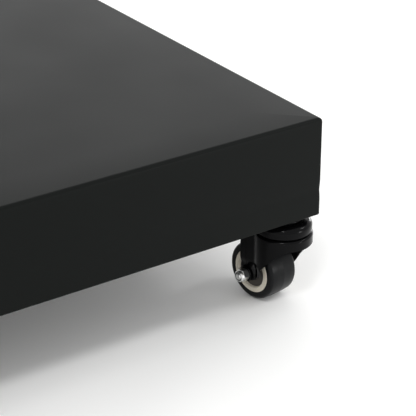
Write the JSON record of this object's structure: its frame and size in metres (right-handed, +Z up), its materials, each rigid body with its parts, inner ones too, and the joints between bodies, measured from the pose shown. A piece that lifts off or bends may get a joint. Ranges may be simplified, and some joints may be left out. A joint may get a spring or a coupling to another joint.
{
  "type": "counting scale",
  "caption": "Mobile platform counting scale: black folded-sheet platform on swivel castors, single load cell, rear column with a tilting counting indicator.",
  "frame": {"origin": "on the floor under the middle of the whole scale, midway between its front and back", "axes": "+Z up, +Y to the back where the column stands, +X to the right of a person who reads the indicator"},
  "size_m": [0.5062, 0.7018, 0.9135],
  "materials": {
    "black_powder_coat": "satin powder coat, fine texture",
    "frame_paint": "satin powder coat",
    "castor_black": "gloss black electrophoretic coat over pressed steel",
    "zinc_plate": "bright zinc plate",
    "bare_steel": "ground steel",
    "load_cell_aluminium": "machined, clear anodised",
    "black_rubber": "moulded",
    "tyre_rubber": "satin moulded tread",
    "cream_nylon": "moulded, semi-matt",
    "light_grey_abs": "moulded, fine spark texture",
    "dark_grey_plastic": "moulded",
    "display_lens": "smoked acrylic",
    "lcd_glass": "reflective liquid crystal",
    "membrane_film": "printed polyester film",
    "circuit_board_green": "solder mask",
    "battery_case": "moulded ABS",
    "level_liquid": "clear acrylic vial with tinted liquid"
  },
  "bodies": {
    "frame": {"castor_front_right_head": "castor_black", "castor_front_left_head": "castor_black", "castor_rear_right_head": "castor_black", "castor_rear_left_head": "castor_black", "base_frame": "frame_paint", "load_cell": "load_cell_aluminium", "lower_spacer": "bare_steel", "upper_spacer": "bare_steel", "load_frame": "frame_paint", "rubber_buffer_front_right": "black_rubber", "rubber_buffer_front_left": "black_rubber", "rubber_buffer_rear_right": "black_rubber", "rubber_buffer_rear_left": "black_rubber", "overload_stop_front_right": "zinc_plate", "overload_stop_front_left": "zinc_plate", "overload_stop_rear_right": "zinc_plate", "overload_stop_rear_left": "zinc_plate", "column_bracket": "frame_paint", "column_tube": "black_powder_coat", "spirit_level": "level_liquid", "head_bracket": "black_powder_coat"},
    "castor_front_right_swivel": {"castor_front_right_ball_race": "bare_steel", "castor_front_right_fork": "castor_black", "castor_front_right_axle_bolt": "zinc_plate", "castor_front_right_lock_nut": "zinc_plate"},
    "castor_front_right_wheel": {"castor_front_right_hub": "cream_nylon", "castor_front_right_tyre": "tyre_rubber"},
    "castor_front_left_swivel": {"castor_front_left_ball_race": "bare_steel", "castor_front_left_fork": "castor_black", "castor_front_left_axle_bolt": "zinc_plate", "castor_front_left_lock_nut": "zinc_plate"},
    "castor_front_left_wheel": {"castor_front_left_hub": "cream_nylon", "castor_front_left_tyre": "tyre_rubber"},
    "castor_rear_right_swivel": {"castor_rear_right_ball_race": "bare_steel", "castor_rear_right_fork": "castor_black", "castor_rear_right_axle_bolt": "zinc_plate", "castor_rear_right_lock_nut": "zinc_plate"},
    "castor_rear_right_wheel": {"castor_rear_right_hub": "cream_nylon", "castor_rear_right_tyre": "tyre_rubber"},
    "castor_rear_left_swivel": {"castor_rear_left_ball_race": "bare_steel", "castor_rear_left_fork": "castor_black", "castor_rear_left_axle_bolt": "zinc_plate", "castor_rear_left_lock_nut": "zinc_plate"},
    "castor_rear_left_wheel": {"castor_rear_left_hub": "cream_nylon", "castor_rear_left_tyre": "tyre_rubber"},
    "cover": {"platform_cover": "black_powder_coat"},
    "indicator": {"indicator_front": "light_grey_abs", "indicator_rear": "light_grey_abs", "display_window": "display_lens", "display_module": "lcd_glass", "keypad": "membrane_film", "circuit_board": "circuit_board_green", "battery_pack": "battery_case", "power_inlet": "dark_grey_plastic", "cable_gland": "dark_grey_plastic"},
    "tilt_knob_right": {"tilt_knob_right": "dark_grey_plastic"},
    "tilt_knob_left": {"tilt_knob_left": "dark_grey_plastic"},
    "battery_door": {"battery_door": "light_grey_abs"},
    "power_rocker": {"power_rocker": "dark_grey_plastic"}
  },
  "joints": [
    {"name": "castor_front_right_swivel", "type": "hinge", "parent": "frame", "child": "castor_front_right_swivel", "pos_m": [0.2295, -0.32731, 0], "axis": [0, 0, 1], "continuous": true},
    {"name": "castor_front_right_wheel_spin", "type": "hinge", "parent": "castor_front_right_swivel", "child": "castor_front_right_wheel", "pos_m": [0.22637, -0.30503, 0.025], "axis": [0.9903, 0.1392, 0], "continuous": true},
    {"name": "castor_front_left_swivel", "type": "hinge", "parent": "frame", "child": "castor_front_left_swivel", "pos_m": [-0.2295, -0.32731, 0], "axis": [0, 0, 1], "continuous": true},
    {"name": "castor_front_left_wheel_spin", "type": "hinge", "parent": "castor_front_left_swivel", "child": "castor_front_left_wheel", "pos_m": [-0.22637, -0.30503, 0.025], "axis": [0.9903, -0.1392, 0], "continuous": true},
    {"name": "castor_rear_right_swivel", "type": "hinge", "parent": "frame", "child": "castor_rear_right_swivel", "pos_m": [0.2295, 0.23169, 0], "axis": [0, 0, 1], "continuous": true},
    {"name": "castor_rear_right_wheel_spin", "type": "hinge", "parent": "castor_rear_right_swivel", "child": "castor_rear_right_wheel", "pos_m": [0.22637, 0.25397, 0.025], "axis": [0.9903, 0.1392, 0], "continuous": true},
    {"name": "castor_rear_left_swivel", "type": "hinge", "parent": "frame", "child": "castor_rear_left_swivel", "pos_m": [-0.2295, 0.23169, 0], "axis": [0, 0, 1], "continuous": true},
    {"name": "castor_rear_left_wheel_spin", "type": "hinge", "parent": "castor_rear_left_swivel", "child": "castor_rear_left_wheel", "pos_m": [-0.22637, 0.25397, 0.025], "axis": [0.9903, -0.1392, 0], "continuous": true},
    {"name": "cover_lift", "type": "slide", "parent": "frame", "child": "cover", "axis": [0, 0, 1], "range_m": [0, 0.12]},
    {"name": "indicator_tilt", "type": "hinge", "parent": "frame", "child": "indicator", "pos_m": [0, 0.28809, 0.83478], "axis": [1, 0, 0], "range_deg": [-20, 30]},
    {"name": "tilt_knob_right_turn", "type": "hinge", "parent": "indicator", "child": "tilt_knob_right", "pos_m": [0.1366, 0.28809, 0.83478], "axis": [1, 0, 0], "continuous": true},
    {"name": "tilt_knob_left_turn", "type": "hinge", "parent": "indicator", "child": "tilt_knob_left", "pos_m": [-0.1366, 0.28809, 0.83478], "axis": [1, 0, 0], "continuous": true},
    {"name": "battery_door_hinge", "type": "hinge", "parent": "indicator", "child": "battery_door", "pos_m": [0, 0.32407, 0.8371], "axis": [1, 0, 0], "range_deg": [0, 95]},
    {"name": "power_rocker_switch", "type": "hinge", "parent": "indicator", "child": "power_rocker", "pos_m": [-0.092, 0.30007, 0.79553], "axis": [1, 0, 0], "range_deg": [0, 16]}
  ]
}
